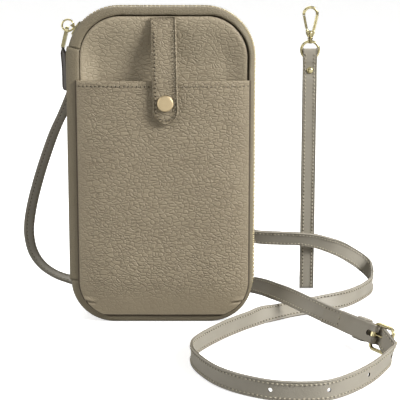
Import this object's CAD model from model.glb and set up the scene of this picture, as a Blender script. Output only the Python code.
from math import cos, dist, exp, pi, radians, sin, sqrt
import bmesh
import bpy
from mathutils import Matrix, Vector, noise


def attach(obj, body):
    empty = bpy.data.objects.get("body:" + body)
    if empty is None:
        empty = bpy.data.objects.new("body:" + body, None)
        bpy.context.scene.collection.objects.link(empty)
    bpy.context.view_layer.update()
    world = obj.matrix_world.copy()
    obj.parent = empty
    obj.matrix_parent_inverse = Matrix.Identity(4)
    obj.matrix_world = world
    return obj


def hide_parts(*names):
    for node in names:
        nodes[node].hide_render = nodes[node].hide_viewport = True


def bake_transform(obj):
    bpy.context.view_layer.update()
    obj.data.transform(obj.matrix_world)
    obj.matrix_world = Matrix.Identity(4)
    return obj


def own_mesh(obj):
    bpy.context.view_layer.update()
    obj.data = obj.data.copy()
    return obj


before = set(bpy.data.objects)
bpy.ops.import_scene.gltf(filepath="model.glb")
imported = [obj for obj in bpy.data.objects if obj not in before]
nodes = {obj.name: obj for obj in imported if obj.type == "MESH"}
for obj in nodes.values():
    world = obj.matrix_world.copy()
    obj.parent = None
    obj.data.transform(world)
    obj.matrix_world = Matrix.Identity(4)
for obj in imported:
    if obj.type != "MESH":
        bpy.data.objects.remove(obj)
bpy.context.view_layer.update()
scene = bpy.context.scene
mm = 0.001


def feed(node, inputs):
    # each input takes a value, or a link from another node's socket
    for name, value in inputs.items():
        if isinstance(value, bpy.types.NodeSocket):
            node.id_data.links.new(value, node.inputs[name])
        else:
            node.inputs[name].default_value = value


def addNode(tree, kind, settings=None, inputs=None):
    node = tree.nodes.new(kind)
    for name, value in (settings or {}).items():
        setattr(node, name, value)
    feed(node, inputs or {})
    return node


def shaderNodes(tree):
    # a function that adds shader nodes to this tree
    return lambda kind, settings=None, inputs=None: addNode(tree, "ShaderNode" + kind, settings, inputs)


def linear(hexColour):
    parts = [int(hexColour[i:i + 2], 16) / 255 for i in (1, 3, 5)]
    return tuple(p / 12.92 if p <= 0.04045 else ((p + 0.055) / 1.055) ** 2.4 for p in parts) + (1.0,)


# ---- camera, fitted to the pouch's corners and the floor contact in the photo
cameraSet = {"place": (24, -714, 227), "down": 9.575, "lens": 103.5, "sensor": 36, "shiftUp": -0.12}
cameraData = bpy.data.cameras.new("camera")
cameraData.lens = cameraSet["lens"]
cameraData.sensor_width = cameraSet["sensor"]
cameraData.shift_y = cameraSet["shiftUp"]
camera = bpy.data.objects.new("camera", cameraData)
camera.location = Vector(cameraSet["place"]) * mm
camera.rotation_euler = (radians(90 - cameraSet["down"]), 0, 0)
scene.collection.objects.link(camera)
scene.camera = camera

# ---- materials
leatherIor = 1.45
smoothStep = {"interpolation_type": "SMOOTHSTEP"}


def newMaterial(name):
    material = bpy.data.materials.new(name)
    material.use_nodes = True
    add = shaderNodes(material.node_tree)
    return material, add, material.node_tree.nodes["Principled BSDF"], add("TexCoord").outputs["Object"]


# full-grain leather, tumbled so that it shrinks into soft pebbles; it is stretched smooth along the foot
# and the sides of the pocket
pebbleSet = {"light": "#a69980", "dark": "#978a73", "crease": "#6a5e4b", "cell": 3.3, "depth": 0.25, "rough": 0.56,
             "flat": 1.7, "tilt": 28.0, "vein": 0.6}


def pebbledLeather(name, look):
    material, add, shader, place = newMaterial(name)
    spot = add("SeparateXYZ", inputs={"Vector": place}).outputs
    foot = add("MapRange", smoothStep, {"Value": spot["Z"], "From Min": 0.012, "From Max": 0.03, "To Min": 0.25})
    left = add("MapRange", smoothStep, {"Value": spot["X"], "From Min": -0.052, "From Max": -0.040, "To Min": 0.45})
    right = add("MapRange", smoothStep, {"Value": spot["X"], "From Min": 0.054, "From Max": 0.044, "To Min": 0.55})
    sides = add("Math", {"operation": "MULTIPLY"}, {0: left.outputs[0], 1: right.outputs[0]})
    grain = add("Math", {"operation": "MULTIPLY"}, {0: sides.outputs[0], 1: foot.outputs[0]})
    laid = add("Mapping", inputs={"Vector": place, "Rotation": (0, radians(-look["tilt"]), 0),
                                  "Scale": (1.0, 1.0, look["flat"])}).outputs[0]
    warp = add("TexNoise", inputs={"Vector": place, "Scale": 130.0, "Detail": 3.0})
    shift = add("VectorMath", {"operation": "SCALE"}, {0: warp.outputs["Color"], "Scale": 0.006})
    bent = add("VectorMath", {"operation": "ADD"}, {0: laid, 1: shift.outputs[0]})
    cells = add("TexVoronoi", {"feature": "DISTANCE_TO_EDGE"},
                {"Vector": bent.outputs[0], "Scale": 1 / (look["cell"] * mm), "Randomness": 1.0})
    dome = add("MapRange", {"interpolation_type": "SMOOTHERSTEP"},
               {"Value": cells.outputs["Distance"], "From Min": 0.0, "From Max": 0.2})
    fine = add("TexVoronoi", {"feature": "SMOOTH_F1"},
               {"Vector": bent.outputs[0], "Scale": 2.6 / (look["cell"] * mm), "Smoothness": 0.7})
    wrinkle = add("TexNoise", inputs={"Vector": bent.outputs[0], "Scale": 150.0, "Detail": 3.0, "Roughness": 0.6})
    high = add("Math", {"operation": "MULTIPLY_ADD"},
               {0: fine.outputs["Distance"], 1: -0.25, 2: dome.outputs["Result"]})
    higher = add("Math", {"operation": "MULTIPLY_ADD"}, {0: wrinkle.outputs["Fac"], 1: 1.3, 2: high.outputs[0]})
    bump = add("Bump", inputs={"Height": higher.outputs[0], "Strength": grain.outputs[0],
                               "Distance": look["depth"] * mm})
    patch = add("TexNoise", inputs={"Vector": place, "Scale": 45.0, "Detail": 3.0})
    tone = add("Mix", {"data_type": "RGBA"},
               {"Factor": patch.outputs["Fac"], 6: linear(look["dark"]), 7: linear(look["light"])})
    valley = add("MapRange", inputs={"Value": cells.outputs["Distance"], "From Min": 0.0, "From Max": 0.07,
                                     "To Min": look["vein"], "To Max": 0.0})
    shade = add("Math", {"operation": "MULTIPLY"}, {0: valley.outputs[0], 1: grain.outputs[0]})
    colour = add("Mix", {"data_type": "RGBA"},
                 {"Factor": shade.outputs[0], 6: tone.outputs[2], 7: linear(look["crease"])})
    feed(shader, {"Base Color": colour.outputs[2], "Normal": bump.outputs[0], "Roughness": look["rough"],
                  "IOR": leatherIor})
    return material


# smooth calf leather for straps and edges: fine pores, faint clouding, low sheen
def smoothLeather(name, light, dark, pore=0.6, depth=0.05, rough=0.5):
    material, add, shader, place = newMaterial(name)
    pores = add("TexVoronoi", inputs={"Vector": place, "Scale": 1 / (pore * mm)})
    cloud = add("TexNoise", inputs={"Vector": place, "Scale": 90.0, "Detail": 4.0})
    tone = add("Mix", {"data_type": "RGBA"}, {"Factor": cloud.outputs["Fac"], 6: linear(dark), 7: linear(light)})
    bump = add("Bump", inputs={"Height": pores.outputs["Distance"], "Strength": 0.7, "Distance": depth * mm})
    feed(shader, {"Base Color": tone.outputs[2], "Normal": bump.outputs[0], "Roughness": rough, "IOR": leatherIor})
    return material


# zinc casting with polished light gold plating: bright, with faint polishing marks
goldSet = {"tint": "#d3caa0", "worn": "#a89c72", "rough": 0.13}
satinSet = {"tint": "#c6b491", "worn": "#b9a684", "rough": 0.5}


def platedGold(name, look):
    material, add, shader, place = newMaterial(name)
    smear = add("TexNoise", inputs={"Vector": place, "Scale": 380.0, "Detail": 3.0})
    tone = add("Mix", {"data_type": "RGBA"},
               {"Factor": smear.outputs["Fac"], 6: linear(look["worn"]), 7: linear(look["tint"])})
    rough = add("MapRange", inputs={"Value": smear.outputs["Fac"], "To Min": look["rough"] - 0.06,
                                    "To Max": look["rough"] + 0.1})
    feed(shader, {"Base Color": tone.outputs[2], "Roughness": rough.outputs["Result"], "Metallic": 1.0})
    return material


# woven polyester: tape, lining and thread, with the weave drawn as crossed ribs
def wovenCloth(name, warp, weft, pitch):
    material, add, shader, place = newMaterial(name)
    waves = [add("TexWave", {"bands_direction": way, "wave_profile": "SIN"},
                 {"Vector": place, "Scale": 0.314 / (pitch * mm)}) for way in ("X", "Z")]
    both = add("Math", {"operation": "MULTIPLY"}, {0: waves[0].outputs["Fac"], 1: waves[1].outputs["Fac"]})
    tone = add("Mix", {"data_type": "RGBA"}, {"Factor": both.outputs[0], 6: linear(warp), 7: linear(weft)})
    bump = add("Bump", inputs={"Height": both.outputs[0], "Strength": 0.8, "Distance": 0.1 * mm})
    feed(shader, {"Base Color": tone.outputs[2], "Normal": bump.outputs[0], "Roughness": 0.85})
    return material


pebbled = pebbledLeather("pebbledCalfTaupe", pebbleSet)
seamDark = smoothLeather("seamShade", "#5b5142", "#4a4134", depth=0.03, rough=0.9)
spineLeather = pebbledLeather("pebbledCalfShoulder",
                              {**pebbleSet, "light": "#8f846e", "dark": "#80765f", "cell": 1.9, "depth": 0.16})
# the top panel is cut from a paler part of the hide
panelCalf = pebbledLeather("pebbledCalfPale", {**pebbleSet, "light": "#b3a68d", "dark": "#a3967e", "cell": 3.7,
                                               "depth": 0.16, "vein": 0.4})
strapCalf = smoothLeather("smoothCalfStone", "#aba597", "#9d9688")
slotCalf = smoothLeather("smoothCalfTaupe", "#8f8570", "#837964")
darkCalf = smoothLeather("smoothCalfUmber", "#57504a", "#3c3631", rough=0.45)
gold = platedGold("lightGoldPlate", goldSet)
toothMetal = platedGold("zipToothPlate", {"tint": "#c9bd9c", "worn": "#94886c", "rough": 0.4})
satinGold = platedGold("satinGoldPlate", satinSet)
thread = wovenCloth("polyesterThread", "#c4bca6", "#d2cbb6", 0.5)
taupeThread = wovenCloth("polyesterThreadTaupe", "#8a806b", "#9a907b", 0.5)
pierced = smoothLeather("needleHole", "#4f4638", "#3d362b", depth=0.03, rough=0.9)
tape = wovenCloth("zipTapeTwill", "#4a4337", "#5e5547", 0.6)
lining = wovenCloth("liningTwill", "#6d6455", "#7f7664", 0.5)
edgePaint = smoothLeather("edgePaint", "#7a6f5c", "#6c6250", depth=0.02, rough=0.4)
board = smoothLeather("fibreBoard", "#bdb7aa", "#aaa395", pore=0.9, depth=0.03, rough=0.9)
holeDark = smoothLeather("rawLeatherHole", "#3d362d", "#2a251f", depth=0.03, rough=0.9)
print("materials made")

# ---- helpers


def standFor(piece, body, slot, *names):
    # the piece replaces these nodes, is carried by this body and wears this slot
    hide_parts(*names)
    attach(piece, body)


def clamp(value):
    return max(0.0, min(1.0, value))


def crowdedEnds(count):
    # steps from -1 to 1 that lie closer together near both ends
    return [sin(pi / 2 * (2 * i / count - 1)) for i in range(count + 1)]


def ringAround(centre, side, other, radius, count):
    turns = [2 * pi * k / count for k in range(count)]
    return [tuple(Vector(centre) + (side * cos(a) + other * sin(a)) * radius) for a in turns]


def roundedSection(halfWide, halfThick, softWide, softThick, steps):
    # a strip's section with rounded corners: pairs of a distance across it and one through it
    pairs = []
    for sideW, sideT in ((-1, -1), (-1, 1), (1, 1), (1, -1)):
        for k in range(steps + 1):
            a = pi / 2 * (k if sideW * sideT > 0 else steps - k) / steps
            pairs.append((sideW * (halfWide - softWide + softWide * cos(a)),
                          sideT * (halfThick - softThick + softThick * sin(a))))
    return pairs


def makePiece(name, points, faces, material, crisp=0):
    mesh = bpy.data.meshes.new(name)
    mesh.from_pydata([Vector(p) * mm for p in points], [], faces)
    mesh.materials.append(material)
    piece = bpy.data.objects.new(name, mesh)
    scene.collection.objects.link(piece)
    work = bmesh.new()
    work.from_mesh(mesh)
    bmesh.ops.recalc_face_normals(work, faces=work.faces)
    if work.calc_volume(signed=True) < 0:
        bmesh.ops.reverse_faces(work, faces=work.faces)
    work.to_mesh(mesh)
    work.free()
    for face in mesh.polygons:
        face.use_smooth = True
    if crisp:
        mesh.set_sharp_from_angle(angle=radians(crisp))
    return piece


def loftPiece(name, rings, material, closed=False, crisp=0):
    count = len(rings[0])
    points = [p for ring in rings for p in ring]
    spans = len(rings) if closed else len(rings) - 1
    faces = []
    for i in range(spans):
        a, b = i * count, (i + 1) % len(rings) * count
        faces += [(a + k, a + (k + 1) % count, b + (k + 1) % count, b + k) for k in range(count)]
    if not closed:
        faces.append(tuple(range(count)))
        faces.append(tuple(len(points) - 1 - k for k in range(count)))
    return makePiece(name, points, faces, material, crisp)


def plainMesh(piece):
    # turns what the modifiers make into the piece's own mesh
    graph = bpy.context.evaluated_depsgraph_get()
    mesh = bpy.data.meshes.new_from_object(piece.evaluated_get(graph), preserve_all_data_layers=True, depsgraph=graph)
    piece.modifiers.clear()
    piece.data = mesh
    return piece


def joinInto(piece, extras):
    # the extras' faces become part of the piece, with their own materials
    for extra in extras:
        offset = len(piece.data.materials)
        for material in extra.data.materials:
            piece.data.materials.append(material)
        for face in extra.data.polygons:
            face.material_index += offset
        work = bmesh.new()
        work.from_mesh(piece.data)
        work.from_mesh(extra.data)
        work.to_mesh(piece.data)
        work.free()
        bpy.data.objects.remove(extra)
    return piece


# a shape repeated along a path: each copy has X along the path and Z along the path's "out" vector
rowTree = bpy.data.node_groups.new("rowAlongPath", "GeometryNodeTree")
for socketName, socketKind in (("Path", "NodeSocketGeometry"), ("Pitch", "NodeSocketFloat"),
                               ("Shape", "NodeSocketObject"), ("Finish", "NodeSocketMaterial")):
    rowTree.interface.new_socket(socketName, in_out="INPUT", socket_type=socketKind)
rowTree.interface.new_socket("Row", in_out="OUTPUT", socket_type="NodeSocketGeometry")
rowIn = addNode(rowTree, "NodeGroupInput").outputs
rowCurve = addNode(rowTree, "GeometryNodeMeshToCurve", inputs={"Mesh": rowIn["Path"]})
rowEven = addNode(rowTree, "GeometryNodeResampleCurve", {"mode": "LENGTH"},
                  {"Curve": rowCurve.outputs[0], "Length": rowIn["Pitch"]})
rowOut = addNode(rowTree, "GeometryNodeInputNamedAttribute", {"data_type": "FLOAT_VECTOR"}, {"Name": "out"})
rowWay = addNode(rowTree, "GeometryNodeInputTangent")
rowTurn = addNode(rowTree, "FunctionNodeAxesToRotation", {"primary_axis": "X", "secondary_axis": "Z"},
                  {0: rowWay.outputs[0], 1: rowOut.outputs["Attribute"]})
rowShape = addNode(rowTree, "GeometryNodeObjectInfo", {"transform_space": "ORIGINAL"}, {"Object": rowIn["Shape"]})
rowCopies = addNode(rowTree, "GeometryNodeInstanceOnPoints",
                    inputs={"Points": rowEven.outputs[0], "Instance": rowShape.outputs["Geometry"],
                            "Rotation": rowTurn.outputs[0]})
rowReal = addNode(rowTree, "GeometryNodeRealizeInstances", inputs={"Geometry": rowCopies.outputs[0]})
rowDone = addNode(rowTree, "GeometryNodeSetMaterial", inputs={"Geometry": rowReal.outputs[0],
                                                              "Material": rowIn["Finish"]})
addNode(rowTree, "NodeGroupOutput", inputs={"Row": rowDone.outputs[0]})
rowSocket = {item.name: item.identifier for item in rowTree.interface.items_tree if item.in_out == "INPUT"}


def rowAlong(name, points, outs, pitch, shape, finish):
    mesh = bpy.data.meshes.new(name)
    mesh.from_pydata([Vector(p) * mm for p in points], [(i, i + 1) for i in range(len(points) - 1)], [])
    out = mesh.attributes.new("out", "FLOAT_VECTOR", "POINT")
    for i, v in enumerate(outs):
        out.data[i].vector = Vector(v).normalized()
    row = bpy.data.objects.new(name, mesh)
    scene.collection.objects.link(row)
    change = row.modifiers.new("row", "NODES")
    change.node_group = rowTree
    change[rowSocket["Pitch"]] = pitch * mm
    change[rowSocket["Shape"]] = shape
    change[rowSocket["Finish"]] = finish
    plainMesh(row)
    attribute = row.data.attributes.get("out")
    if attribute:
        row.data.attributes.remove(attribute)
    if not row.data.materials:
        row.data.materials.append(finish)
    return row


def hiddenShape(name, points, faces):
    shape = makePiece(name, points, faces, thread)
    shape.hide_render = True
    scene.collection.objects.unlink(shape)
    return shape


def pillShape(name, length, width, height, across=6, along=4):
    rings = []
    for i in range(along + 1):
        a = pi * i / along
        rings.append([(-length / 2 * cos(a), width / 2 * sin(a) * cos(2 * pi * k / across),
                       height / 2 * sin(a) * sin(2 * pi * k / across)) for k in range(across)])
    points = [rings[0][0]] + [p for ring in rings[1:-1] for p in ring] + [rings[-1][0]]
    last = len(points) - 1
    faces = [(0, 1 + (k + 1) % across, 1 + k) for k in range(across)]
    for i in range(along - 2):
        a = 1 + i * across
        faces += [(a + k, a + (k + 1) % across, a + across + (k + 1) % across, a + across + k) for k in range(across)]
    faces += [(last, last - across + k, last - across + (k + 1) % across) for k in range(across)]
    return hiddenShape(name, points, faces)


stitchSet = {"length": 1.5, "width": 0.8, "height": 0.6, "pitch": 2.5, "sunk": 0.02, "hole": 1.05, "holeDeep": 0.36,
             "holeSmall": 0.8, "holeSmallDeep": 0.16}
stitchShape = pillShape("stitchShape", stitchSet["length"], stitchSet["width"], stitchSet["height"])
needleShape = pillShape("needleShape", stitchSet["hole"], stitchSet["hole"], stitchSet["holeDeep"])
smallNeedleShape = pillShape("smallNeedleShape", stitchSet["holeSmall"], stitchSet["holeSmall"],
                             stitchSet["holeSmallDeep"])


def stitchRow(name, points, outs, finish=thread):
    # a row of thread, and half a pitch along it the row of needle holes that the thread dives into
    rows = [rowAlong(name, points, outs, stitchSet["pitch"], stitchShape, finish)]
    half, left = [], stitchSet["pitch"] / 2
    for i, (a, b) in enumerate(zip(points, points[1:])):
        span = dist(a, b)
        if not half and span >= left:
            half = [(tuple(Vector(a).lerp(Vector(b), left / span)), outs[i])] + list(zip(points[i + 1:], outs[i + 1:]))
        left -= span
    rows.append(rowAlong(name, [p for p, _ in half], [o for _, o in half], stitchSet["pitch"],
                         smallNeedleShape if finish == thread else needleShape, pierced))
    return rows


def punch(piece, a, b, size):
    # a round hole along the line from a to b
    way = (Vector(b) - Vector(a)).normalized()
    side = way.orthogonal().normalized()
    other = way.cross(side)
    drill = loftPiece("drill", [ringAround(end, side, other, size / 2, 24) for end in (a, b)], holeDark)
    cut = piece.modifiers.new("cut", "BOOLEAN")
    cut.object = drill
    cut.operation = "DIFFERENCE"
    cut.solver = "MANIFOLD"
    cut.material_mode = "TRANSFER"
    plainMesh(piece)
    bpy.data.objects.remove(drill)
    piece.data.set_sharp_from_angle(angle=radians(20))


def smoothRoute(rows, step):
    # Catmull-Rom through the hand points; every row keeps its extra values
    def at(i, t):
        p = [rows[max(0, min(len(rows) - 1, i + k))] for k in (-1, 0, 1, 2)]
        return [0.5 * (2 * b + (c - a) * t + (2 * a - 5 * b + 4 * c - d) * t * t + (3 * b - a - 3 * c + d) * t ** 3)
                for a, b, c, d in zip(*p)]
    done = []
    for i in range(len(rows) - 1):
        span = dist(rows[i][:3], rows[i + 1][:3])
        parts = max(1, round(span / step))
        done += [at(i, k / parts) for k in range(parts)]
    return done + [list(rows[-1])]


def ribbonPiece(name, rows, width, thick, material, step=2.0, firstWay=None, lastWay=None, closed=False, stitched=True,
                edge=1.5, trim=1.5, holes=()):
    # a strap along hand points: each row is a place, then the way that the strap's width runs there
    route = smoothRoute(rows, step)
    if closed:
        route = route[:-1]
    rings, stations = [], []
    last = len(route) - 1
    section = roundedSection(width / 2, thick / 2, thick / 4, thick / 4, 2)
    for i, row in enumerate(route):
        place = Vector(row[:3])
        before = route[i - 1 if closed else max(0, i - 1)]
        after = route[(i + 1) % len(route) if closed else min(last, i + 1)]
        way = (Vector(after[:3]) - Vector(before[:3])).normalized()
        if i == 0 and firstWay:
            way = Vector(firstWay).normalized()
        if i == last and lastWay:
            way = Vector(lastWay).normalized()
        wide = Vector(row[3:6])
        wide = (wide - way * wide.dot(way)).normalized()
        deep = way.cross(wide)
        stations.append((place, wide, deep))
        rings.append([tuple(place + wide * across + deep * through) for across, through in section])
    piece = loftPiece(name, rings, material, closed, 20)
    for a, b, size in holes:
        punch(piece, a, b, size)
    extras = []
    if stitched:
        inner = [s for s in stations if (s[0] - stations[0][0]).length > trim and
                 (s[0] - stations[-1][0]).length > trim] if not closed else stations
        for side in (-1, 1):
            for face in (1, -1):
                line = [tuple(place + wide * side * (width / 2 - edge) + deep * face * (thick / 2 - stitchSet["sunk"]))
                        for place, wide, deep in inner]
                extras += stitchRow(name + "Row", line, [deep * face for _, _, deep in inner])
    return joinInto(piece, extras), [tuple(s[0]) for s in stations]


# ---- crossbody strap: the frame's hand points, smoothed, with more lean where the photo shows it
strapSet = {"width": 11, "thick": 1.8, "stitchIn": 1.7, "holeWide": 2.3, "holesAt": (31.5, 60.0, 92.7, 124.0)}
buckle = {"place": (124.3, -75.4, 12.5), "turn": -58.0, "lean": 20.0, "wire": 2.2, "foldLong": 48}
endSet = {"width": 10.4, "thick": 1.75, "long": 9.0, "drop": 7.4, "side": 2.0}
foldSide = buckle["wire"] / 2 + 0.1 + strapSet["thick"] / 2
tipSide = foldSide + strapSet["thick"] + 0.3


def atBuckle(u, v, w=0.0):
    c, s = cos(radians(buckle["turn"])), sin(radians(buckle["turn"]))
    cl, sl = cos(radians(buckle["lean"])), sin(radians(buckle["lean"]))
    back = v * cl + w * sl
    return (buckle["place"][0] + u * c - back * s, buckle["place"][1] + u * s + back * c,
            buckle["place"][2] - v * sl + w * cl)


leaned = tuple(Vector(atBuckle(0, 0, 1)) - Vector(buckle["place"]))
ringTurn = radians(43)
ringPlaces = (("Left", ringTurn, (-38, 19, 166)), ("Right", 0.0, (42, 19, 166)))
ringDown = endSet["drop"] + endSet["long"]
ringSin, ringCos = sin(ringTurn), cos(ringTurn)
buckleRoute = [(-38 - ringDown * ringSin, 21, 166 - ringDown * ringCos, ringCos, 0, -ringSin),
               (-54.5, 22, 146.5, 0.7, 0.5, -0.5), (-59.5, 21.5, 138, 0.5, 0.85, -0.2), (-64.5, 21, 128, 0.42, 0.9, 0),
               (-70, 21, 116.5, 0.42, 0.9, 0), (-75.5, 21, 102, 0.42, 0.9, 0), (-80.5, 21, 87, 0.42, 0.9, 0),
               (-85, 21, 71, 0.42, 0.9, 0), (-87.5, 21, 58, 0.4, 0.9, 0), (-88, 21, 48, 0.35, 0.95, 0),
               (-85.8, 21, 37, 0.25, 1, 0.1), (-80.2, 21, 28, 0.1, 1, 0.1), (-71.5, 21, 21.5, 0, 1, 0.1),
               (-61, 21.5, 17.5, 0, 1, 0.15), (-49, 22.5, 14.5, 0, 0.9, 0.4), (-34, 24, 10.8, 0, 0.6, 0.8),
               (-14, 26, 7.2, 0, 0.2, 1), (8, 28, 5.9, 0, 0, 1), (30, 30.5, 6.8, 0, 0, 1), (47, 31.5, 9.8, 0, 0, 1),
               (57, 27.5, 12.3, 0.4, 0.35, 0.85), (65, 17.5, 13.6, 0.4, 0.32, 0.86), (72, 6.5, 14.1, 0.4, 0.3, 0.87),
               (80, -6, 14.4, 0.36, 0.27, 0.9), (88, -18.5, 13.9, 0.33, 0.22, 0.92),
               atBuckle(-buckle["foldLong"], foldSide) + leaned]
backRoute = [
    (42, 21, 166 - ringDown, 1, 0, 0), (41.8, 23.5, 139, 0.9, 0.5, 0), (40.5, 28, 127, 0.5, 0.85, 0),
    (38.5, 31.5, 112, 0.15, 1, 0), (37, 34, 96, 0, 1, 0), (37, 36.5, 80, 0, 1, 0), (40, 39, 63, 0, 1, 0.1),
    (48, 41, 49, -0.1, 0.8, -0.6), (60, 42, 42, 0, 0.5, -0.87), (76, 43, 40.3, 0, 0.45, -0.9),
    (92, 46, 39, 0, 0.5, -0.87), (101.5, 50, 36.8, 0, 0.5, -0.87), (112, 56, 32.5, 0, 0.45, -0.9),
    (121.5, 63, 27.4, -0.1, 0.2, -0.98), (131.5, 69, 20.5, -0.2, -0.1, -0.98), (138.5, 71, 15.2, -0.2, -0.1, -1),
    (142.5, 67, 11.1, -0.1, 0, -1), (143.5, 59, 8.1, 0, 0, -1)]
frontRoute = [
    (143.5, 59, 8.1, 0, 0, 1), (141.5, 49, 6.3, 0, 0, 1), (136.5, 39.5, 5.6, 0, 0, 1), (129.5, 28.5, 5.6, 0, 0, 1),
    (120.5, 18.5, 5.5, -0.1, 0.15, 1), (109, 11, 5.3, -0.2, 0.35, 0.9), (96, 5, 4.7, -0.35, 0.55, 0.75),
    (84, -0.5, 4.3, -0.4, 0.65, 0.66), (73.5, -8.2, 4.6, -0.45, 0.6, 0.7), (64, -16, 5.3, -0.3, 0.3, 0.9),
    (55, -26.8, 5.6, 0, 0, 1), (46.5, -36.5, 5.6, 0, 0, 1), (39, -46, 5.6, 0, 0, 1), (31.5, -57, 5.6, 0, 0, 1),
    (24.5, -69, 5.6, 0, 0, 1), (20, -80, 5.6, 0, 0, 1), (19.5, -92, 5.6, 0, 0, 1), (23, -105, 5.6, 0, 0, 1),
    (30.5, -120.5, 5.6, 0, 0, 1), (39.5, -131.5, 5.6, 0, 0, 1), (50, -139.5, 5.6, 0, 0, 1),
    (62.5, -145.5, 5.6, 0, 0, 1), (77, -147.5, 5.6, 0, 0, 1), (91, -145, 5.6, 0, 0.05, 1),
    (104, -135.5, 5.8, 0, 0.1, 1), (117, -121, 6.3, 0.08, 0.15, 1), (127.8, -104.7, 7.4, 0.18, 0.18, 1),
    (131.5, -97, 8.5, 0.24, 0.18, 1), atBuckle(17.5, -3.2, -2.8) + leaned, atBuckle(13.4, -2.7, -1.1) + leaned,
    atBuckle(10.2, -1.4, -0.3) + leaned, atBuckle(6.6, 1.2) + leaned, atBuckle(3.2, tipSide - 0.5) + leaned,
    atBuckle(-2, tipSide) + leaned]
buckleWay = (cos(radians(buckle["turn"])), sin(radians(buckle["turn"])), 0)

width, thick = strapSet["width"], strapSet["thick"]
buckleStrap, buckleLine = ribbonPiece("buckleStrap", buckleRoute, width, thick, strapCalf,
                                      firstWay=(-ringSin, 0, -ringCos), lastWay=buckleWay, edge=strapSet["stitchIn"])
backStrap, backLine = ribbonPiece("holedStrapBack", backRoute, width, thick, strapCalf, firstWay=(0, 0, -1),
                                  lastWay=(-0.05, -0.98, -0.18), edge=strapSet["stitchIn"])


def strapHoles():
    # where the photo shows them: at these distances back from the tip's root, then one on the prong
    drills = []
    travelled, targets = 0.0, list(strapSet["holesAt"])
    backwards = list(reversed(smoothRoute(frontRoute, 2.0)))
    for a, b in zip(backwards, backwards[1:]):
        travelled += dist(a[:3], b[:3])
        if targets and travelled >= targets[0]:
            targets.pop(0)
            way = (Vector(a[:3]) - Vector(b[:3])).normalized()
            wide = Vector(a[3:6])
            deep = way.cross((wide - way * wide.dot(way)).normalized())
            centre = Vector(a[:3])
            drills.append((tuple(centre - deep * 3), tuple(centre + deep * 3), strapSet["holeWide"]))
    drills.append((atBuckle(2, 1.2), atBuckle(14, 1.2), strapSet["holeWide"]))
    return drills


frontStrap, frontLine = ribbonPiece("holedStrapFront", frontRoute, width, thick, strapCalf,
                                    firstWay=(-0.05, -0.98, -0.18), lastWay=[-v for v in buckleWay],
                                    edge=strapSet["stitchIn"], holes=strapHoles())


def lengthOf(line):
    return sum(dist(a, b) for a, b in zip(line, line[1:])) * mm


# the strap's tip, pointed, inside the buckle
tipLong, tipSoft = 40, 0.45
tipRows = []
for i in range(25):
    u = -2 - tipLong * i / 24
    tipRows.append((u, min(width / 2, max(0.35, (u + 2 + tipLong) * 0.98))))
tipRings = [[atBuckle(u, tipSide + through, across)
             for across, through in roundedSection(room, 2 * tipSoft, min(tipSoft, room), tipSoft, 2)]
            for u, room in tipRows]
strapTip = loftPiece("strapTip", tipRings, strapCalf, crisp=20)
tipExtras = []
for side in (-1, 1):
    line = [atBuckle(u, tipSide + 0.88, side * (room - 1.6)) for u, room in tipRows if room > 3]
    outWay = Vector(atBuckle(0, 1)) - Vector(atBuckle(0, 0))
    tipExtras += stitchRow("tipRow", line, [outWay] * len(line))
joinInto(strapTip, tipExtras)

# turned-back end: near layer, round the bar, far layer, as one ribbon
foldRoute = [atBuckle(u, v) + leaned for u, v in (
    (-46.4, foldSide - thick - 0.1), (-40, foldSide - thick - 0.1), (-33, foldSide - thick - 0.25), (-27, -0.9),
    (-20, -foldSide + 0.15), (-14, -foldSide), (-7, -foldSide), (0, -foldSide), (1.48, -1.48), (foldSide, 0),
    (1.48, 1.48), (0, foldSide), (-7, foldSide), (-20, foldSide), (-34, foldSide), (-48, foldSide))]
slotEnds = [(atBuckle(u, -2 * foldSide), atBuckle(u, 2 * foldSide), 3.2) for u in (-1.9, 0, 1.9, 3.2)]
buckleFold, _ = ribbonPiece("buckleFold", foldRoute, width, thick - 0.05, strapCalf, step=0.8, stitched=False,
                            holes=slotEnds)
foldRows = []
nearWay = Vector(atBuckle(0, -1)) - Vector(atBuckle(0, 0))
for side in (-1, 1):
    line = [atBuckle(-46 + 1.0 * i, foldSide - thick * 1.5 - 0.12, side * (width / 2 - 1.7)) for i in range(16)]
    foldRows += stitchRow("foldRow", line, [nearWay] * len(line))
line = [atBuckle(-30.8, foldSide - thick * 1.5 - 0.2, z) for z in (-3.8, 0, 3.8)]
foldRows += stitchRow("foldRow", line, [nearWay] * 3)
joinInto(buckleFold, foldRows)

# keeper: a sewn loop of thin leather
keeperSet = {"at": 9.5, "wide": 7, "thick": 1.0}
keeperOut = 0.3 + keeperSet["thick"] / 2
keeperY = (0.0, tipSide + thick / 2 + keeperOut)
keeperZ = width / 2 + keeperOut
corner = 1.0
keeperLine = []
for cy, cz, start in ((keeperY[1] - corner, keeperZ - corner, 0), (keeperY[0] + corner, keeperZ - corner, 90),
                      (keeperY[0] + corner, -keeperZ + corner, 180), (keeperY[1] - corner, -keeperZ + corner, 270)):
    for k in range(5):
        a = radians(start + 90 * k / 4)
        keeperLine.append((cy + corner * cos(a), cz + corner * sin(a), cos(a), sin(a)))
keeperRings = []
for y, z, ny, nz in keeperLine:
    ring = []
    for u, d in ((0, -0.5), (0, 0.35), (-0.3, 0.5), (-keeperSet["wide"] + 0.3, 0.5), (-keeperSet["wide"], 0.35),
                 (-keeperSet["wide"], -0.5)):
        ring.append(atBuckle(-keeperSet["at"] + u, y + ny * d, z + nz * d))
    keeperRings.append(ring)
strapKeeper = loftPiece("strapKeeper", keeperRings, strapCalf, closed=True, crisp=20)


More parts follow.
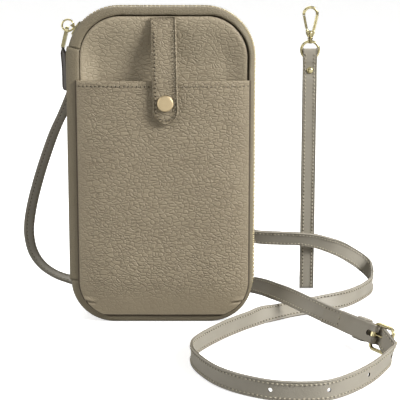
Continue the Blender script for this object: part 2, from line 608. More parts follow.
def tubePiece(name, path, radius, material, up=None, closed=True, across=14):
    # a round wire along a flat path of points
    middle = sum((Vector(p) for p in path), Vector()) / len(path)
    up = Vector(up) if up else (Vector(path[0]) - middle).cross(Vector(path[len(path) // 4]) - middle).normalized()
    rings = []
    for i, p in enumerate(path):
        after = path[(i + 1) % len(path)] if closed else path[min(i + 1, len(path) - 1)]
        before = path[i - 1] if closed else path[max(i - 1, 0)]
        side = (Vector(after) - Vector(before)).normalized().cross(up).normalized()
        rings.append(ringAround(p, side, up, radius, across))
    return loftPiece(name, rings, material, closed, 50)


def turnedPiece(name, place, axis, profile, material, across=40):
    # a turned part: radius and height pairs along its axis
    axis = Vector(axis).normalized()
    side = axis.orthogonal().normalized()
    other = axis.cross(side)
    rings = [ringAround(Vector(place) + axis * h, side, other, r, across) for r, h in profile]
    return loftPiece(name, rings, material, crisp=40)


def roundedLoop(low, high, corner, place):
    # a rectangle's outline with round corners, each point placed by the given function
    loop = []
    for cu, cw, start in ((high[0] - corner, high[1] - corner, 0), (low[0] + corner, high[1] - corner, 90),
                          (low[0] + corner, low[1] + corner, 180), (high[0] - corner, low[1] + corner, 270)):
        for k in range(9):
            a = radians(start + 90 * k / 8)
            loop.append(place(cu + corner * cos(a), cw + corner * sin(a)))
    return loop


frameSet = {"wire": 2.15, "low": (0.0, -8.0), "high": (15.5, 6.6), "corner": 3.0}
buckleFrame = tubePiece("buckleFrame", roundedLoop(frameSet["low"], frameSet["high"], frameSet["corner"],
                                                   lambda u, w: atBuckle(u, 0.0, w)), frameSet["wire"] / 2, gold)
standFor(buckleFrame, "pouch", "gold_metal", "buckle_frame")
for piece, node in ((buckleStrap, "buckle_strap"), (backStrap, "holed_strap_back"), (frontStrap, "holed_strap_front"),
                    (strapTip, "strap_tip"), (buckleFold, "buckle_fold"), (strapKeeper, "strap_keeper")):
    standFor(piece, "pouch", "strap_leather", node)
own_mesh(frontStrap)
print("strap made", lengthOf(buckleLine), lengthOf(backLine), lengthOf(frontLine))

# ---- strap ends: each a loop over its D-ring's lower bar


def endRows(turn, ring):
    c, s = cos(turn), sin(turn)
    rows = []
    line = [(endSet["side"], -9.0), (endSet["side"], -6.0), (endSet["side"], -3.0), (endSet["side"], 0)]
    line += [(endSet["side"] * cos(radians(a)), endSet["side"] * sin(radians(a))) for a in (30, 60, 90, 120, 150)]
    line += [(-endSet["side"], 0), (-1.55, -2.6), (-0.6, -5.2), (0.12, -7.2), (0.12, -8.0)]
    for y, z in line:
        local = z - endSet["drop"]
        rows.append((ring[0] + local * s, ring[1] + y, ring[2] + local * c, c, 0, -s))
    return rows


def atBothRings(name, rowsAt, sizes, material, step):
    # the same leather at both D-rings, as one piece
    left, right = [ribbonPiece(name + side, rowsAt(turn, ring), sizes["width"], sizes["thick"], material, step=step,
                               stitched=False)[0] for side, turn, ring in ringPlaces]
    joinInto(left, [right]).name = name + "s"
    return left


strapEnds = atBothRings("strapEnd", endRows, endSet, strapCalf, 0.8)
standFor(strapEnds, "pouch", "strap_leather", "strap_ends")

# ---- pouch shell
pouchSet = {"width": 114, "height": 198, "depth": 30, "topR": 31, "lowR": 27, "shoulder": 3.0,
            "leather": 1.4, "sway": 2.2}  # sway: how far the stuffed front leans over to the right
halfW = pouchSet["width"] / 2
topArc, lowArc = pouchSet["topR"] * pi / 2, pouchSet["lowR"] * pi / 2
topL = pouchSet["width"] - 2 * pouchSet["topR"]
lowL = pouchSet["width"] - 2 * pouchSet["lowR"]
sideL = pouchSet["height"] - pouchSet["topR"] - pouchSet["lowR"]
zipL = 2 * topArc + topL + sideL + 2 * lowArc + lowL
zipStart = radians(13) * pouchSet["topR"]


def edgeAt(s):
    # point on the outer edge and the way inwards, from the top of the spine clockwise as seen from the front
    s %= zipL + sideL
    t, b = pouchSet["topR"], pouchSet["lowR"]
    top, low = pouchSet["height"] - t, b
    if s < topArc:
        a, cx, cz, r = pi - s / t, t - halfW, top, t
    elif s < topArc + topL:
        return (t - halfW + s - topArc, pouchSet["height"]), (0, -1)
    elif s < 2 * topArc + topL:
        a, cx, cz, r = pi / 2 - (s - topArc - topL) / t, halfW - t, top, t
    elif s < 2 * topArc + topL + sideL:
        return (halfW, top - (s - 2 * topArc - topL)), (-1, 0)
    elif s < zipL - lowArc - lowL:
        a, cx, cz, r = -(s - 2 * topArc - topL - sideL) / b, halfW - b, low, b
    elif s < zipL - lowArc:
        return (halfW - b - (s - zipL + lowArc + lowL), 0), (0, 1)
    elif s <= zipL:
        a, cx, cz, r = -pi / 2 - (s - zipL + lowArc) / b, b - halfW, low, b
    else:
        return (-halfW, low + s - zipL), (1, 0)
    return (cx + r * cos(a), cz + r * sin(a)), (-cos(a), -sin(a))


def wobble(x, y, z, size, seed=0.0):
    return noise.noise(Vector((x, y, z)) / size + Vector((seed, seed * 1.7, -seed)))


def gussetSection(lip):
    rim, belly, wall = 5.1, pouchSet["depth"] / 2 - pouchSet["shoulder"], pouchSet["leather"]
    depth = pouchSet["shoulder"]
    section = [(rim + 2.4, -belly + 0.2), (rim + 1.9, -belly - 0.2), (rim + 0.1, -belly - 0.6),
               (rim - 0.05, -belly - depth + 0.5)]
    for k in range(1, 11):
        a = pi / 2 * k / 10
        section.append((rim * (1 - sin(a)) - 0.25 * cos(a), -belly - depth * cos(a) ** 0.9 + 0.12 * cos(a)))
    if lip:
        section += [(0.0, -10), (0.0, -8), (0.02, -6), (0.05, -4.9), (0.3, -4.25), (0.75, -4.0), (1.2, -4.2),
                    (wall, -4.8), (wall, -8), (wall, -belly)]
    else:
        section += [(0.0, -8), (0.0, -4), (0.0, 0), (0.0, 4), (0.0, 8)]
        section += [(t, -y) for t, y in reversed(section[:14])]
        section += [(rim, belly + 0.2), (wall, belly - 0.6), (wall, 0), (wall, -belly + 0.6)]
    section.append((rim, -belly + 0.2))
    return section


def paintSeam(piece, section, groove):
    # the faces down in the seam are dark
    piece.data.materials.append(seamDark)
    count = len(section)
    for face in piece.data.polygons:
        if len(face.vertices) == 4 and face.index % count in groove:
            face.material_index = 1


def gussetRings(section, start, end, step, flip, seed, lap=0.0):
    rings = []
    count = round((end - start) / step)
    for i in range(count + 1):
        s = start + (end - start) * i / count
        (x, z), (nx, nz) = edgeAt(s)
        ring = []
        for t, y in section:
            outer = clamp((t - 0.4) / 2) * clamp((7.0 - t) / 2)
            soft = 0.22 * outer * wobble(x, y * 2, z, 7.0, seed) + 0.3 * outer * wobble(x, y, z, 21.0, seed + 3)
            t = t - lap * max(0.0, 1 - t / 1.2)
            if not flip:
                t += pouchSet["sway"] * nx * min(1.0, t / 5.1) * clamp((-y - 10.5) / 1.3)
            ring.append((x + nx * (t + soft), (-y if flip else y) + soft * (0.6 if flip else -0.6),
                         z + nz * (t + soft)))
        rings.append(ring)
    return rings


lipSection, spineSection = gussetSection(True), gussetSection(False)
frontGusset = loftPiece("frontGusset", gussetRings(lipSection, zipStart, zipL, 1.6, False, 1.0), spineLeather)
backGusset = loftPiece("backGusset", gussetRings(lipSection, zipStart, zipL, 1.6, True, 5.0), spineLeather)
spineGusset = loftPiece("spineGusset", gussetRings(spineSection, zipL + 0.3, zipL + sideL + zipStart - 0.3, 1.6,
                                                   False, 9.0, 0.7), spineLeather)
for piece in (frontGusset, backGusset):
    paintSeam(piece, lipSection, (0, 1, 2, len(lipSection) - 1))
paintSeam(spineGusset, spineSection, (0, 1, 2, 29, 30, 31, len(spineSection) - 1))

panelSet = {"inset": 5.75, "roll": 2.4, "rollDeep": 1.6, "recess": 4.6, "slopeTop": 191.3, "slopeLow": 161.0}


def insetPoint(s, inset, sway=0.0):
    # a point on the panel's outline, this far inside the outer edge; past 22 mm it closes in on the middle
    near = min(inset, 22.0)
    (x, z), (nx, nz) = edgeAt(s)
    moved = near + sway * nx * (1 - near / 22.0)
    x, z = x + nx * moved, z + nz * moved
    share = max(0.0, (inset - near) / (halfW - 22.0))
    mid = max(halfW, min(pouchSet["height"] - halfW, z))
    return x * (1 - share), z + (mid - z) * share


def panelPiece(name, outline, faceY, backY, material, steps, startInset, sway=0.0):
    total = zipL + sideL
    stations = [total * i / outline for i in range(outline)]
    innermost = halfW - 0.6
    insets = [startInset + d for d in steps if startInset + d < innermost] + [innermost]
    lines = [(inset, [insetPoint(s, inset, sway) for s in stations]) for inset in insets]
    outer = [[(x, faceY(x, z, inset - startInset), z) for x, z in line] for inset, line in reversed(lines)]
    inner = [[(x, backY(x, z), z) for x, z in line] for inset, line in lines]
    return loftPiece(name, outer + inner, material)


panelSteps = [0, 0.25, 0.6, 1.0, 1.5, 2.1, 2.8] + [3.8 + 1.4 * k for k in range(36)]


def edgeRoll(d):
    share = max(0.0, 1 - d / panelSet["roll"])
    return panelSet["rollDeep"] * (1 - sqrt(max(0.0, 1 - share * share)))


def frontFace(x, z, d):
    high, low = panelSet["slopeTop"], panelSet["slopeLow"]
    share = clamp((high - z) / (high - low))
    sink = panelSet["recess"] * share * share * (3 - 2 * share)
    side = clamp(d / 12.0)
    soft = 0.45 * wobble(x, 0, z, 26.0, 2.0) * side
    return -15 + sink * side ** 0.7 + edgeRoll(d) + soft


def frontBack(x, z):
    return -7.9 if z < 158 else -7.9 - 4.4 * min(1.0, (z - 158) / 26)


frontPanel = panelPiece("frontPanel", 220, frontFace, frontBack, panelCalf, panelSteps, panelSet["inset"],
                        pouchSet["sway"])


def backFace(x, z, d):
    return 15 - edgeRoll(d) - 0.15 + 0.25 * wobble(x, 3, z, 30.0, 6.0) * min(1.0, d / 10)


backPanel = panelPiece("backPanel", 220, backFace, lambda x, z: 13.6, pebbled, panelSteps, panelSet["inset"])
for piece, body, node in ((frontGusset, "front_cover", "front_gusset"), (backGusset, "pouch", "back_gusset"),
                          (frontPanel, "front_cover", "front_panel"), (backPanel, "pouch", "back_panel")):
    standFor(piece, body, "leather", node)
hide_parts("spine_gusset")
# the spine is the cover's real hinge: its front shoulder turns with the cover
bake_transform(spineGusset)
print("shell made")

# ---- slip pocket: a bulging panel with a turned edge and a stitch row at its mouth
pocketSet = {"top": 153, "inset": 4.0, "line": 1.1, "lineLow": 1.7, "bulge": 4.6, "rise": 25.0, "leather": 1.4,
             "rows": 150, "columns": 96, "stitchDown": 2.9, "tuck": 0.1, "swayLeft": 0.5}
pocketFace = pouchSet["depth"] / 2 + 0.1 + pocketSet["leather"]


def lowCorner(inset, z):
    # how far the round lower corner draws in a piece that lies this far inside the outer edge
    r = pouchSet["lowR"] - inset
    return r - sqrt(max(0.0, r * r - (pouchSet["lowR"] - z) ** 2)) if z < pouchSet["lowR"] else 0.0


def pocketHalf(z):
    return halfW - pocketSet["inset"] - pocketSet["tuck"] - lowCorner(pocketSet["inset"], z)


def pocketY(u, z):
    rise = 1 - max(0.0, 1 - (z - pocketSet["inset"]) / pocketSet["rise"]) ** 1.4
    return -pocketFace - pocketSet["bulge"] * (1 - abs(u) ** 4) * rise


def pocketPoint(u, z, depth=0.0):
    x = u * pocketHalf(z)
    soft = 0.3 * wobble(x, 1, z, 24.0, 4.0) * (1 - abs(u) ** 6) * min(1.0, (pocketSet["top"] - z) / 12)
    edge = max(0.0, 1 - (1 - abs(u)) * pocketHalf(z) / 1.6, 1 - (z - pocketSet["inset"]) / 1.6)
    # a short tuck where the leather is gathered round each lower corner
    reach = clamp((abs(x) - 41.5) / 3) * clamp((52 - abs(x)) / 1.5)
    line = z - 13.5 - 0.12 * (abs(x) - 45)
    tuck = reach * (1.5 * exp(-(line / 0.55) ** 2) - 0.6 * exp(-((line - 1.5) / 1.3) ** 2))
    lean = (pouchSet["sway"] if u > 0 else pocketSet["swayLeft"]) * u * u
    return (x + lean, pocketY(u, z) + soft + depth + 1.3 * edge * edge + tuck, z)


pocketU = crowdedEnds(pocketSet["columns"])
pocketLow = pocketSet["inset"] + 0.5
levels = [(pocketLow + (pocketSet["top"] - pocketLow) * (i / pocketSet["rows"]) ** 1.5, 0, 0)
          for i in range(pocketSet["rows"] + 1)]
# the mouth's edge is rounded over
levels += [(pocketSet["top"], 0.28, 0.2), (pocketSet["top"], 0.42, 0.5)]
pocketRings = []
for level, lift, shrink in levels:
    front = [pocketPoint(u, level) for u in pocketU]
    back = [pocketPoint(u, level, pocketSet["leather"]) for u in reversed(pocketU)]
    pocketRings.append([(x, y + shrink, z + lift) for x, y, z in front] +
                       [(x, y - shrink, z + lift) for x, y, z in back])
pocketPanel = loftPiece("pocketPanel", pocketRings, pebbled)
pocketPanel.data.materials.append(seamDark)
for face in pocketPanel.data.polygons:
    x, z = face.center.x / mm, face.center.z / mm
    x -= pouchSet["sway"] if x > 0 else pocketSet["swayLeft"]
    if abs(x) > pocketHalf(z) - pocketSet["line"] or z < pocketSet["inset"] + pocketSet["lineLow"]:
        face.material_index = 1
mouthZ = pocketSet["top"] - pocketSet["stitchDown"]
mouthLine = [pocketPoint(u * 0.97, mouthZ) for u in pocketU]
joinInto(pocketPanel, stitchRow("mouthRow", mouthLine, [(0, -1, 0)] * len(mouthLine), taupeThread))
standFor(pocketPanel, "front_cover", "leather", "pocket_panel")
print("pocket made")

# ---- snap tab
tabSet = {"width": 15.6, "x": 1.8, "thick": 1.95, "low": 127.8, "stitchIn": 2.0, "top": 191.2, "lean": 1.4}
tabLine = [(-16.35, 191.6), (-16.9, 188.5), (-18.0, 183.0), (-19.6, 175.0), (-21.4, 166.0), (-22.8, 158.5),
           (-23.4, 152.0), (-23.4, 146.0), (-23.4, 139.0), (-23.4, 133.0), (-23.4, 127.8)]
tabRows = smoothRoute([(0, y, z) for y, z in tabLine], 1.0)
tabRings, tabStations = [], []


def onTab(p):
    c, s = cos(radians(tabSet["lean"])), sin(radians(tabSet["lean"]))
    z = p[2] - tabSet["top"]
    return (tabSet["x"] + p[0] * c - z * s, p[1], tabSet["top"] + p[0] * s + z * c)


for i, (_, y, z) in enumerate(tabRows):
    after, before = tabRows[min(len(tabRows) - 1, i + 1)], tabRows[max(0, i - 1)]
    way = Vector((0, after[1] - before[1], after[2] - before[2])).normalized()
    out = Vector((0, way.z, -way.y))
    if out.y > 0:
        out = -out
    half = tabSet["width"] / 2
    down = z - tabSet["low"]
    room = half if down >= half else sqrt(max(0.05, half * half - (half - down) ** 2))
    place = Vector((0, y, z))
    t = tabSet["thick"] / 2
    soft = min(t * 0.85, room)
    tabRings.append([onTab(place + Vector((across, 0, 0)) + out * through)
                     for across, through in roundedSection(room, t, soft, soft, 3)])
    tabStations.append((place, out, room))
tab = loftPiece("tab", tabRings, pebbled, crisp=50)
tab.data.materials.append(edgePaint)
for face in tab.data.polygons:
    if abs(face.normal.x) > 0.8:
        face.material_index = 1
left = [(p + Vector((-(room - tabSet["stitchIn"]), 0, 0)) + out * 0.96, out) for p, out, room in tabStations
        if p.z > tabSet["low"] + tabSet["width"] / 2 and p.z < 184]
inset = tabSet["width"] / 2 - tabSet["stitchIn"]
curveEnd = []
for k in range(1, 18):
    a = pi + pi * k / 18
    curveEnd.append((Vector((inset * cos(a), -23.4 - 0.96, tabSet["low"] + tabSet["width"] / 2 + inset * sin(a))),
                     Vector((0, -1, 0))))
right = [(Vector((-p.x, p.y, p.z)), out) for p, out in reversed(left)]
tabStitch = left + curveEnd + right
joinInto(tab, stitchRow("tabRow", [onTab(p) for p, _ in tabStitch], [o for _, o in tabStitch], taupeThread))
standFor(tab, "snap_tab", "leather", "tab_leather", "tab_backing")

# snap cap: a turned disc with a soft rim
capProfile = [(0.02, 1.2), (2.0, 1.19), (3.6, 1.14), (4.3, 1.0), (4.75, 0.72), (4.97, 0.4), (5.0, 0.15), (4.9, 0.0),
              (0.02, 0.0)]
snapCap = turnedPiece("snapCap", onTab((0, -24.42, 140.2)), (0, -1, 0), capProfile, satinGold)
standFor(snapCap, "snap_tab", "gold_metal", "snap_cap")
print("tab made")

# ---- zip: two rows of stamped teeth that interlock
zipSet = {"pitch": 2.5, "endGap": 6.0, "apart": 0.55}


def toothShape(name):
    points, faces = [], []
    # a stamped bracket: broad foot, narrow head that crosses the middle
    outline = [(-0.62, -1.75), (0.62, -1.75), (0.62, 0.15), (0.4, 0.75), (-0.4, 0.75), (-0.62, 0.15)]
    for h, share in ((-1.5, 0.9), (-1.35, 1.0), (0.1, 1.0), (0.95, 0.5)):
        points += [(x * share, y * (share if y > 0 else 1), h) for x, y in outline]
    for i in range(3):
        a = i * 6
        faces += [(a + k, a + (k + 1) % 6, a + 6 + (k + 1) % 6, a + 6 + k) for k in range(6)]
    faces += [tuple(range(5, -1, -1)), tuple(range(18, 24))]
    return hiddenShape(name, points, faces)


tooth = toothShape("toothShape")
mirroredTooth = toothShape("toothShapeBack")
for vertex in mirroredTooth.data.vertices:
    vertex.co.y = -vertex.co.y
mirroredTooth.data.flip_normals()


def zipLine(start, end, y):
    line, outs = [], []
    s = start
    while s <= end:
        (x, z), (nx, nz) = edgeAt(s)
        t = -0.7 * max(0.0, -nx) + 1.1 * max(0.0, nz) + 0.4 * max(0.0, -nz)
        line.append((x + nx * t, y, z + nz * t))
        outs.append((-nx, 0, -nz))
        s += 1.0
    return line, outs


teethStart, teethEnd = zipStart + zipSet["endGap"], zipL - zipSet["endGap"]
for name, node, body, start, y, shape in (("frontTeeth", "front_zip_teeth", "front_cover", teethStart, -zipSet["apart"],
                                           tooth), ("backTeeth", "back_zip_teeth", "pouch",
                                                    teethStart + zipSet["pitch"] / 2, zipSet["apart"], mirroredTooth)):
    teeth = rowAlong(name, *zipLine(start, teethEnd, y), zipSet["pitch"], shape, toothMetal)
    standFor(teeth, body, "gold_metal", node)
print("zip made")

# ---- leather zip pull: a strip that hangs from the clasp's end, twists to the front and has a rounded tip
pullSet = {"x": -60.966, "z": 172.675, "lean": -2.0, "turn": 25.0, "twist": 4.0, "width": 8.0, "neck": 5.6,
           "thick": 1.8, "long": 27.2, "bow": 0.5}


def atPull(across, deep, down):
    # a point of the strip: across its width, through its thickness and down from the clasp
    share = min(1.0, down / pullSet["twist"])
    turn, lean = radians(pullSet["turn"] * share), radians(pullSet["lean"])
    deep += pullSet["bow"] * sin(pi * down / pullSet["long"])
    x, y = deep * cos(turn) - across * sin(turn), deep * sin(turn) + across * cos(turn)
    return (pullSet["x"] + x * cos(lean) - down * sin(lean), y, pullSet["z"] - x * sin(lean) - down * cos(lean))


pullRings = []
half = pullSet["width"] / 2
for k in range(46):
    down = 0.05 + (pullSet["long"] - 0.1) * k / 45
    left = pullSet["long"] - down
    room = min(half, pullSet["neck"] / 2 + down * 0.4)
    if left < half:
        room = min(room, sqrt(max(0.04, half * half - (half - left) ** 2)))
    thin = pullSet["thick"] / 2 * min(1.0, 0.55 + left / 2)
    soft = min(0.5, room, thin)
    pullRings.append([atPull(across, through, down) for across, through in roundedSection(room, thin, soft, soft, 3)])
pullStrip = loftPiece("pullStrip", pullRings, darkCalf, crisp=40)
standFor(pullStrip, "zip_pull", "pull_leather", "pull_leather")

# ---- D-ring tabs: a strip folded round each ring's upper bar
tabRingSet = {"width": 10, "thick": 1.25}


def ringTabRows(turn, ring):
    c, s = cos(turn), sin(turn)
    line = [(-3.2, 15.8), (-3.2, 9.0), (-3.1, 4.0), (-2.7, 1.4)]
    line += [(1.75 * cos(radians(a)), 1.75 * sin(radians(a))) for a in (200, 235, 270, 305, 335, 0)]
    line += [(1.2, 2.6), (0.0, 6.0), (-1.2, 10.0), (-1.85, 15.8)]
    return [(ring[0] + z * s, ring[1] + y, ring[2] + z * c, c, 0, -s) for y, z in line]


dringTabs = atBothRings("ringTab", ringTabRows, tabRingSet, pebbled, 0.9)
dringTabs.name = "dringTabs"
standFor(dringTabs, "pouch", "leather", "dring_tabs")

# ---- wrist strap: a strip folded through the O-ring and riveted
wristSet = {"x": 98, "y": 60, "width": 9.4, "thick": 1.6, "side": 1.55, "rivet": 152.5}
half = wristSet["side"]
frontLeg = [(-half, 3.0), (-half, 40.0), (-half, 80.0), (-half, 120.0), (-half, 143.0), (-0.85, 149.5), (-0.85, 155.5),
            (-half, 159.0), (-half, 164.0)]
topBend = [(-half * cos(radians(a)), 165.0 + 1.7 * sin(radians(a))) for a in (30, 60, 90, 120, 150)]
backLeg = [(-y, z) for y, z in reversed(frontLeg)]
lowBend = [(half * cos(radians(a)), 2.35 - half * sin(radians(a))) for a in (10, 45, 90, 135, 170)]
wristLine = frontLeg + topBend + backLeg + lowBend
wristRows = [(wristSet["x"], wristSet["y"] + y, z, 1, 0, 0) for y, z in wristLine + wristLine[:1]]
wristStrap, _ = ribbonPiece("wristStrap", wristRows, wristSet["width"], wristSet["thick"], strapCalf, step=1.2,
                            closed=True, stitched=False)


def legAt(z):
    # the front leg's depth at this height
    for (y0, z0), (y1, z1) in zip(frontLeg, frontLeg[1:]):
        if z0 <= z <= z1:
            return y0 + (y1 - y0) * (z - z0) / (z1 - z0)
    return -half


wristExtras = []
for side in (-1, 1):
    for face in (-1, 1):
        line = [(wristSet["x"] + side * (wristSet["width"] / 2 - 1.7), wristSet["y"] - face * (legAt(z) - 0.78), z)
                for z in range(3, 164, 2)]
        wristExtras += stitchRow("wristRow", line, [(0, face, 0)] * len(line))
joinInto(wristStrap, wristExtras)
domeProfile = [(0.02, 1.15), (0.7, 1.08), (1.4, 0.86), (1.95, 0.48), (2.2, 0.1), (2.2, -0.4), (0.02, -0.4)]
rivetSides = [turnedPiece("wristRivet", (wristSet["x"], wristSet["y"] + face * 1.65, wristSet["rivet"]), (0, face, 0),
                          domeProfile, gold) for face in (-1, 1)]
wristRivet = joinInto(rivetSides[0], [rivetSides[1]])
standFor(wristRivet, "wrist_strap", "gold_metal", "wrist_rivet")

# snap hook: a bent round wire on a pressed foot, its left side the sprung gate, on a turned swivel
hookSet = {"wire": 2.0, "bowZ": 190.0, "bowR": 4.5, "lowX": 2.5, "lowZ": 180.4, "thick": 2.7}


def atHook(x, z, y=0.0):
    return (wristSet["x"] + x, wristSet["y"] + y, z)


hookPath = [atHook(hookSet["bowR"] * cos(radians(a)), hookSet["bowZ"] + hookSet["bowR"] * sin(radians(a)))
            for a in range(190, -13, -8)]
hookPath += [atHook(3.6, 185.4), atHook(hookSet["lowX"], hookSet["lowZ"]), atHook(2.0, 178.8), atHook(1.2, 177.6)]
hookWire = tubePiece("snapHook", hookPath, hookSet["wire"] / 2, gold, up=(0, 1, 0), closed=False)
footRings = []
for wide, z in ((1.3, 175.0), (1.8, 175.1), (2.4, 175.8), (2.8, 176.8), (3.0, 177.8), (3.0, 178.4), (2.7, 178.8),
                (2.0, 179.0)):
    deep = hookSet["thick"] / 2 * (0.85 if z in (175.0, 179.0) else 1)
    footRings.append([atHook(across, z, through) for across, through in roundedSection(wide, deep, 0.4, 0.4, 3)])
hookLeg = tubePiece("hookLeg", [atHook(-1.2, 177.4), atHook(-1.9, 178.6), atHook(-2.35, 179.7)], hookSet["wire"] / 2,
                    gold, up=(0, 1, 0), closed=False)
hookFoot = loftPiece("hookFoot", footRings, gold, crisp=40)
hookHead = [turnedPiece("hookHead", atHook(0, 177.2, face * hookSet["thick"] / 2), (0, face, 0),
                        [(0.02, 0.5), (0.8, 0.42), (1.15, 0.2), (1.2, -0.2), (0.02, -0.2)], gold) for face in (-1, 1)]
hookCollar = turnedPiece("hookCollar", atHook(0, 0), (0, 0, 1), [(0.6, 174.5), (1.7, 174.5), (1.9, 174.7), (1.9, 175.4),
                                                               (1.8, 176.1), (0.6, 176.2)], gold)
snapHook = joinInto(hookWire, [hookLeg, hookFoot, hookCollar] + hookHead)
swivelPost = turnedPiece("swivelPost", atHook(0, 0), (0, 0, 1),
                         [(0.5, 170.3), (1.3, 170.4), (1.75, 170.9), (1.75, 172.1), (1.25, 172.4), (1.25, 172.9),
                          (1.85, 173.2), (1.85, 174.0), (1.3, 174.3), (0.5, 174.35)], gold)
gatePath = [atHook(-2.556 - 1.82 * k / 6, 180.4 + 8.5 * k / 6) for k in range(7)]
hookGate = tubePiece("hookGate", gatePath, 0.85, gold, up=(0, 1, 0), closed=False)
for piece, node, body in ((snapHook, "hook_body", "snap_hook"), (swivelPost, "swivel_post", "wrist_strap"),
                          (hookGate, "hook_gate", "gate")):
    standFor(piece, body, "gold_metal", node)
standFor(wristStrap, "wrist_strap", "strap_leather", "wrist_leather")
print("wrist strap made")

# ---- inside: the linings with a corded edge, three card slots, the pocket's lining and hem, the zip's tapes
insideSet = {"backLining": 12.4, "backIn": 5.8, "frontLining": -6.9, "frontIn": 2.3, "cloth": 0.8, "cord": 0.7}


def liningPiece(name, inset, hiddenY, side, cordInset):
    # side is the way the lining's face looks along y
    def face(x, z):
        # the back lining lies flat behind the card slots
        lift = 0.22 * clamp((z - 95) / 15) if side < 0 else 0.25
        return hiddenY + side * (insideSet["cloth"] + lift * (1 + wobble(x, 5, z, 34.0, inset)))
    piece = panelPiece(name, 200, lambda x, z, d: hiddenY, face, lining, [0, 0.5] + [2.0 + 2.0 * k for k in range(28)],
                       inset)
    total = zipL + sideL
    run = [insetPoint(total * i / 260, cordInset) for i in range(260)]
    cord = tubePiece(name + "Cord", [(x, hiddenY + side * (insideSet["cloth"] + 0.35), z) for x, z in run],
                     insideSet["cord"], slotCalf, up=(0, 1, 0), across=8)
    return joinInto(piece, [cord])


backLining = liningPiece("backLining", insideSet["backIn"], insideSet["backLining"], -1, 5.55)
frontLining = liningPiece("frontLining", insideSet["frontIn"], insideSet["frontLining"], 1, 2.3)

slotSet = {"inset": 6.4, "thick": 0.8, "face": 10.7, "step": 0.9, "high": 90.0, "drop": 14.0, "bow": 0.5, "columns": 40}


def slotPoint(u, z, y):
    half = halfW - slotSet["inset"] - lowCorner(slotSet["inset"], z)
    return (u * half, y - slotSet["bow"] * (1 - u * u) * min(1.0, z / 60), z)


cardSlots = []
for k in range(3):
    top, y = slotSet["high"] - k * slotSet["drop"], slotSet["face"] - k * slotSet["step"]
    us = crowdedEnds(slotSet["columns"])
    levels = [(slotSet["inset"] + (top - slotSet["inset"] - 0.5) * (i / 40) ** 1.4, 0.0) for i in range(41)]
    levels += [(top - 0.2, 0.08), (top - 0.03, 0.22)]
    rings = [[slotPoint(u, z, y + tuck) for u in us] +
             [slotPoint(u, z, y + slotSet["thick"] - tuck) for u in reversed(us)] for z, tuck in levels]
    piece = loftPiece("cardSlot%d" % (k + 1), rings, slotCalf, crisp=50)
    low = top - slotSet["drop"] + 1.5 if k < 2 else 29.0
    rows = stitchRow("slotRow", [slotPoint(u * 0.94, top - 2.6, y - 0.02) for u in us], [(0, -1, 0)] * len(us))
    for side in (-1, 1):
        line = [slotPoint(side * 0.945, low + (top - 3.5 - low) * i / 8, y - 0.02) for i in range(9)]
        rows += stitchRow("slotRow", line, [(0, -1, 0)] * 9)
    joinInto(piece, rows)
    cardSlots.append(piece)


def pocketLayer(name, low, depth, narrow, material):
    # a sheet that follows the pocket's inner face, this deep behind its outer face
    rings = []
    top = pocketSet["top"] - 0.3
    levels = [low + (top - low) * (i / 50) ** 1.3 for i in range(51)]
    for z in levels:
        share = (pocketHalf(z) - narrow) / pocketHalf(z)
        line = [pocketPoint(u * share, z, depth) for u in pocketU[::2]]
        rings.append(line + [(x, y + 0.8, z) for x, y, z in reversed(line)])
    return loftPiece(name, rings, material, crisp=50)


pocketLining = pocketLayer("pocketLining", 10.5, 1.5, 2.2, lining)
pocketHem = pocketLayer("pocketHem", 145.0, 2.4, 2.2, pebbled)

tapeSet = {"low": 2.35, "high": 7.0, "inner": 2.1, "outer": 1.5, "bead": 0.35}


def tapePiece(name, side):
    low, high, inner, outer = tapeSet["low"], tapeSet["high"], tapeSet["inner"], tapeSet["outer"]
    bead = tapeSet["bead"]
    section = [(outer, low + 1.2), (outer - 0.02, low + 0.3), (outer + 0.12, low), (inner - 0.1, low),
               (inner + bead, low + 0.25), (inner + bead, low + 0.8), (inner, low + 1.2), (inner, high), (outer, high)]
    rings = []
    count = round((zipL - zipStart) / 1.8)
    for i in range(count + 1):
        (x, z), (nx, nz) = edgeAt(zipStart + (zipL - zipStart) * i / count)
        rings.append([(x + nx * t, side * y, z + nz * t) for t, y in section])
    return loftPiece(name, rings, tape, crisp=50)


frontTape, backTape = tapePiece("frontTape", -1), tapePiece("backTape", 1)
for piece, node, body, look in ((backLining, "back_lining", "pouch", "lining"),
                                (frontLining, "front_lining", "front_cover", "lining"),
                                (cardSlots[0], "card_slot_1", "pouch", "leather"),
                                (cardSlots[1], "card_slot_2", "pouch", "leather"),
                                (cardSlots[2], "card_slot_3", "pouch", "leather"),
                                (pocketLining, "pocket_lining", "front_cover", "lining"),
                                (pocketHem, "pocket_hem", "front_cover", "leather"),
                                (frontTape, "front_zip_tape", "front_cover", "zip_tape"),
                                (backTape, "back_zip_tape", "pouch", "zip_tape")):
    standFor(piece, body, look, node)
print("inside made")

# ---- finishes on the parts that keep their solid
keptFinish = {gold: ("zip_stops", "d_rings", "strap_end_rivets", "snap_stud", "snap_socket", "zip_slider", "pull_ring",
                     "pull_clasp", "buckle_prong", "wrist_ring", "gate_pivot"), board: ("back_board", "front_board")}
for finish, names in keptFinish.items():
    for name in names:
        nodes[name].data.materials.clear()
        nodes[name].data.materials.append(finish)

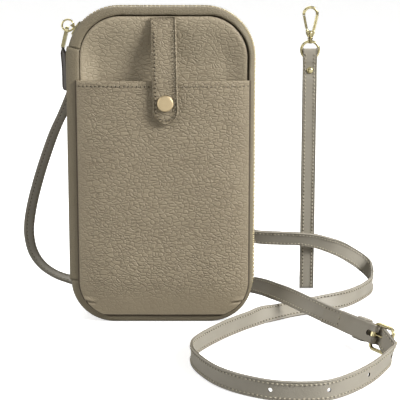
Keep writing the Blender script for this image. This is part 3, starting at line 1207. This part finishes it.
# ---- floor, light and background
# each lamp's place, size and power, in metres and watts
lampSet = {"key": ((1.25, -0.72, 0.9), 0.7, 33.0), "fill": ((-1.35, -0.6, 0.5), 1.2, 9.0),
           "back": ((-0.3, 1.2, 1.5), 1.2, 14.0)}
skyStrength, lampTarget = 0.33, (0, 0, 0.1)
floorMesh = bpy.data.meshes.new("floor")
floorMesh.from_pydata([(-6, -6, 0), (6, -6, 0), (6, 6, 0), (-6, 6, 0)], [], [(0, 1, 2, 3)])
floor = bpy.data.objects.new("floor", floorMesh)
floor.location.z = -0.0002
scene.collection.objects.link(floor)
floorPaint = bpy.data.materials.new("paperSweep")  # matt white paper; the camera sees it near white
floorPaint.use_nodes = True
paint = floorPaint.node_tree
add = shaderNodes(paint)
paper = paint.nodes["Principled BSDF"]
glow = add("Emission", inputs={"Color": linear("#ffffff"), "Strength": 0.66})
seen = add("LightPath")
sheet = add("Mix", {"data_type": "RGBA"},
            {"Factor": seen.outputs["Is Diffuse Ray"], 6: linear("#f2f2f0"), 7: linear("#4f4d49")})
feed(paper, {"Base Color": sheet.outputs[2], "Roughness": 0.9})
none = add("Emission", inputs={"Strength": 0.0})
shown = add("MixShader", inputs={0: seen.outputs["Is Camera Ray"], 1: none.outputs[0], 2: glow.outputs[0]})
both = add("AddShader", inputs={0: paper.outputs[0], 1: shown.outputs[0]})
feed(paint.nodes["Material Output"], {"Surface": both.outputs[0]})
floorMesh.materials.append(floorPaint)

world = bpy.data.worlds.new("studio")
scene.world = world
world.use_nodes = True
add = shaderNodes(world.node_tree)
sky = world.node_tree.nodes["Background"]
feed(sky, {"Color": linear("#ffffff"), "Strength": skyStrength})
white = add("Background", inputs={"Color": linear("#ffffff"), "Strength": 1.0})
# what polished metal sees: a dark room with pale screens in it
around = add("TexCoord").outputs["Generated"]
screens = add("TexNoise", inputs={"Vector": around, "Scale": 4.0, "Detail": 1.0})
bands = add("MapRange", smoothStep, {"Value": screens.outputs["Fac"], "From Min": 0.42, "From Max": 0.58,
                                     "To Min": 0.04, "To Max": 1.5})
room = add("Background", inputs={"Color": linear("#ffffff"), "Strength": bands.outputs[0]})
seen = add("LightPath")
lit = add("MixShader", inputs={0: seen.outputs["Is Glossy Ray"], 1: sky.outputs[0], 2: room.outputs[0]})
mixed = add("MixShader", inputs={0: seen.outputs["Is Camera Ray"], 1: lit.outputs[0], 2: white.outputs[0]})
feed(world.node_tree.nodes["World Output"], {"Surface": mixed.outputs[0]})


def areaLight(name, place, target, size, power):
    data = bpy.data.lights.new(name, "AREA")
    data.size = size
    data.energy = power
    lamp = bpy.data.objects.new(name, data)
    lamp.location = place
    lamp.rotation_euler = (Vector(target) - Vector(place)).to_track_quat("-Z", "Y").to_euler()
    scene.collection.objects.link(lamp)


for lampName, (lampPlace, lampSize, lampPower) in lampSet.items():
    areaLight(lampName, lampPlace, lampTarget, lampSize, lampPower)
scene.view_settings.view_transform = "Standard"
print("stage set")
